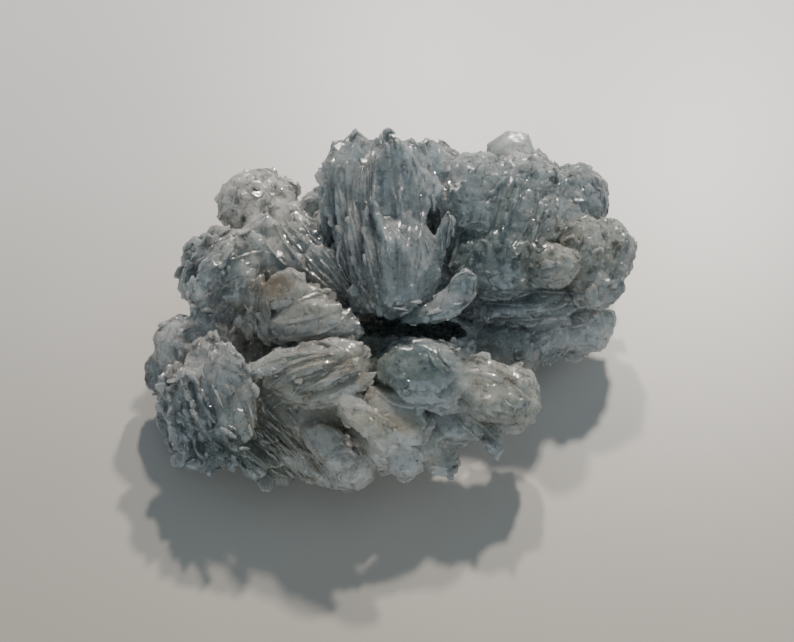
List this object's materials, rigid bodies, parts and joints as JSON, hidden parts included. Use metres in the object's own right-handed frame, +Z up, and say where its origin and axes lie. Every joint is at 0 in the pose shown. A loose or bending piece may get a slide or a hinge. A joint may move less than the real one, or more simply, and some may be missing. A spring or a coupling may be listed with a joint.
{
  "type": "celestite crystal cluster",
  "caption": "Cabinet-size celestite cluster of crested tabular crystals in fans, scales and rounded nodules, resting on a small flat spot.",
  "frame": {"origin": "on the ground inside the flat resting spot, under the centre of mass", "axes": "+Z up off the table; +X along the long side, to the right when the deep cleft and the petal-like front crystals face the viewer; -Y towards that viewer"},
  "size_m": [0.124, 0.0978, 0.0598],
  "materials": {
    "celestite": "frosted, translucent blue-grey crystal"
  },
  "bodies": {
    "root": {"celestite_cluster": "celestite"}
  },
  "joints": []
}
